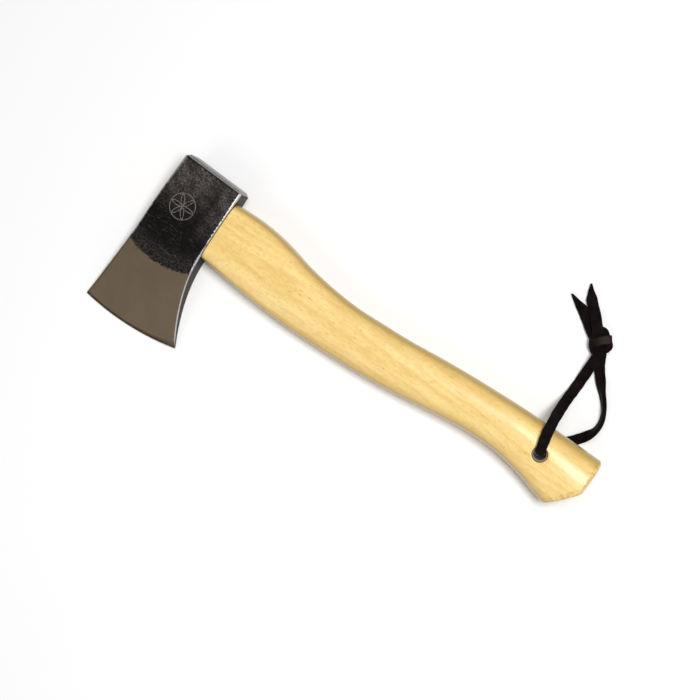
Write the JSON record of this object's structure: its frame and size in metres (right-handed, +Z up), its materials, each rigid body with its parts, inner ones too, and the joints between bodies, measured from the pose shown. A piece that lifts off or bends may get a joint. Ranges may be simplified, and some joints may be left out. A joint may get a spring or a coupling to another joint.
{
  "type": "hatchet",
  "caption": "One-handed camping hatchet with a black-coated forged head, ground bit, curved hardwood handle with a fawn's-foot butt, and a knotted leather lanyard, lying on its cheek.",
  "frame": {"origin": "on the floor, below the middle of the box around head and handle, with the hatchet lying on its cheek", "axes": "+X along the handle from head to butt, +Y towards the poll (the cutting edge is at -Y), +Z up from the floor"},
  "size_m": [0.331, 0.194, 0.0327],
  "materials": {
    "coated_steel": "black coating on poll and cheeks, semi-gloss and lightly scratched; bit ground bare, matte grey-brown steel",
    "lacquered_hardwood": "pale straight-grained hardwood under clear gloss lacquer",
    "wedge_wood": "bare hardwood",
    "wedge_steel": "plain steel, hammered flush",
    "dark_leather": "very dark brown, soft and matte"
  },
  "bodies": {
    "root": {"head": "coated_steel", "handle": "lacquered_hardwood", "wooden_wedge": "wedge_wood", "ring_wedge": "wedge_steel", "lanyard_front_strand": "dark_leather", "lanyard_back_strand": "dark_leather", "lanyard_knot": "dark_leather", "lanyard_right_tail": "dark_leather", "lanyard_left_tail": "dark_leather"}
  },
  "joints": []
}
